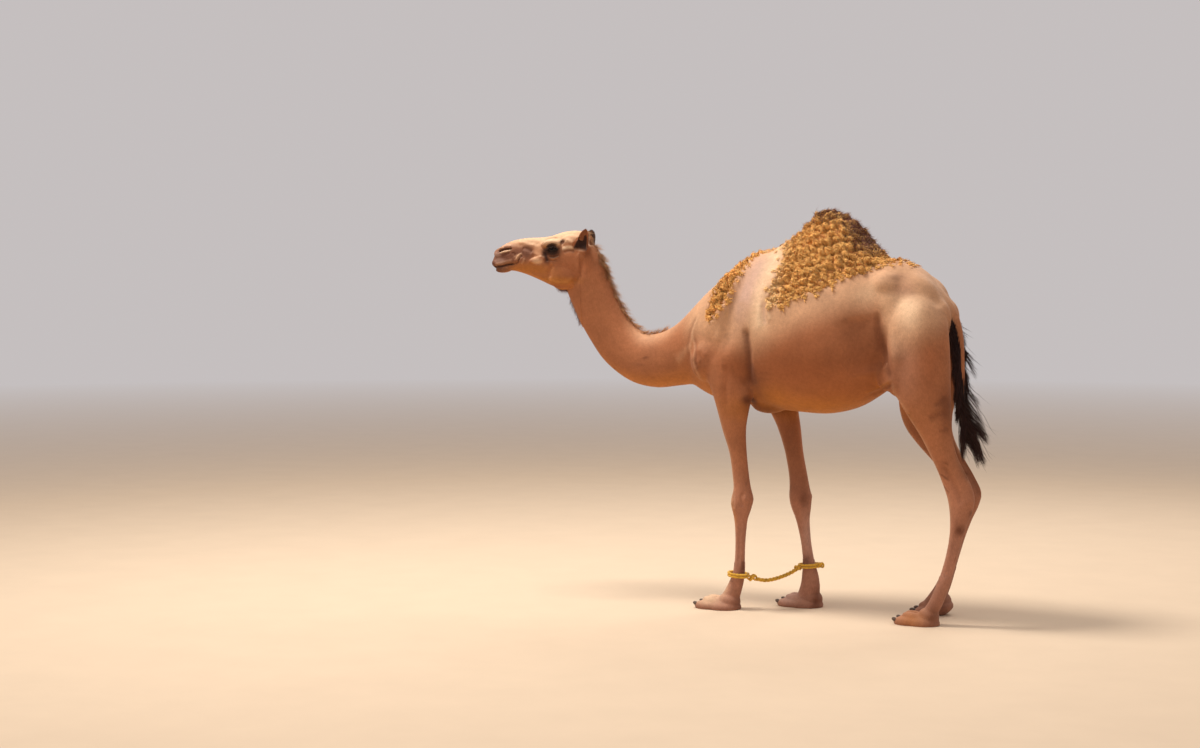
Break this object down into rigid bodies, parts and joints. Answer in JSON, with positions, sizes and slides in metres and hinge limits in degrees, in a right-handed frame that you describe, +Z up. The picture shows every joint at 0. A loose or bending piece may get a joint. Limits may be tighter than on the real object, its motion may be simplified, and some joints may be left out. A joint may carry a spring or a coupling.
{
  "type": "dromedary camel",
  "caption": "Life-size standing one-humped camel, head turned a little to its left, with a short tan coat, matted wool on the hump and a rope hobble on the front pasterns.",
  "frame": {"origin": "middle of the bounding box on the floor under the soles", "axes": "+Z up, the animal looks towards -X and its left side is -Y"},
  "size_m": [2.7076, 0.6097, 2.089],
  "materials": {
    "tan_coat": "short matt hair",
    "ochre_wool": "matted curly wool",
    "dark_hair": "coarse long hair",
    "wet_eye": "glossy",
    "dark_horn": "dull horn",
    "yellow_rope": "twisted rope, dusty"
  },
  "bodies": {
    "root": {"ear_left": "tan_coat", "ear_right": "tan_coat", "eye_left": "wet_eye", "eye_right": "wet_eye", "foreleg_left_cannon": "tan_coat", "foreleg_left_foot": "tan_coat", "foreleg_left_forearm": "tan_coat", "foreleg_left_nail_a": "dark_horn", "foreleg_left_nail_b": "dark_horn", "foreleg_right_cannon": "tan_coat", "foreleg_right_foot": "tan_coat", "foreleg_right_forearm": "tan_coat", "foreleg_right_nail_a": "dark_horn", "foreleg_right_nail_b": "dark_horn", "head": "tan_coat", "hindleg_left_cannon": "tan_coat", "hindleg_left_foot": "tan_coat", "hindleg_left_gaskin": "tan_coat", "hindleg_left_nail_a": "dark_horn", "hindleg_left_nail_b": "dark_horn", "hindleg_left_thigh": "tan_coat", "hindleg_right_cannon": "tan_coat", "hindleg_right_foot": "tan_coat", "hindleg_right_gaskin": "tan_coat", "hindleg_right_nail_a": "dark_horn", "hindleg_right_nail_b": "dark_horn", "hindleg_right_thigh": "tan_coat", "hobble_end": "yellow_rope", "hobble_knot_left": "yellow_rope", "hobble_knot_right": "yellow_rope", "hobble_loop_left": "yellow_rope", "hobble_loop_right": "yellow_rope", "hobble_span": "yellow_rope", "hump": "ochre_wool", "neck_lower": "tan_coat", "neck_upper": "tan_coat", "tail_dock": "tan_coat", "tail_hair": "dark_hair", "trunk": "tan_coat"}
  },
  "joints": []
}
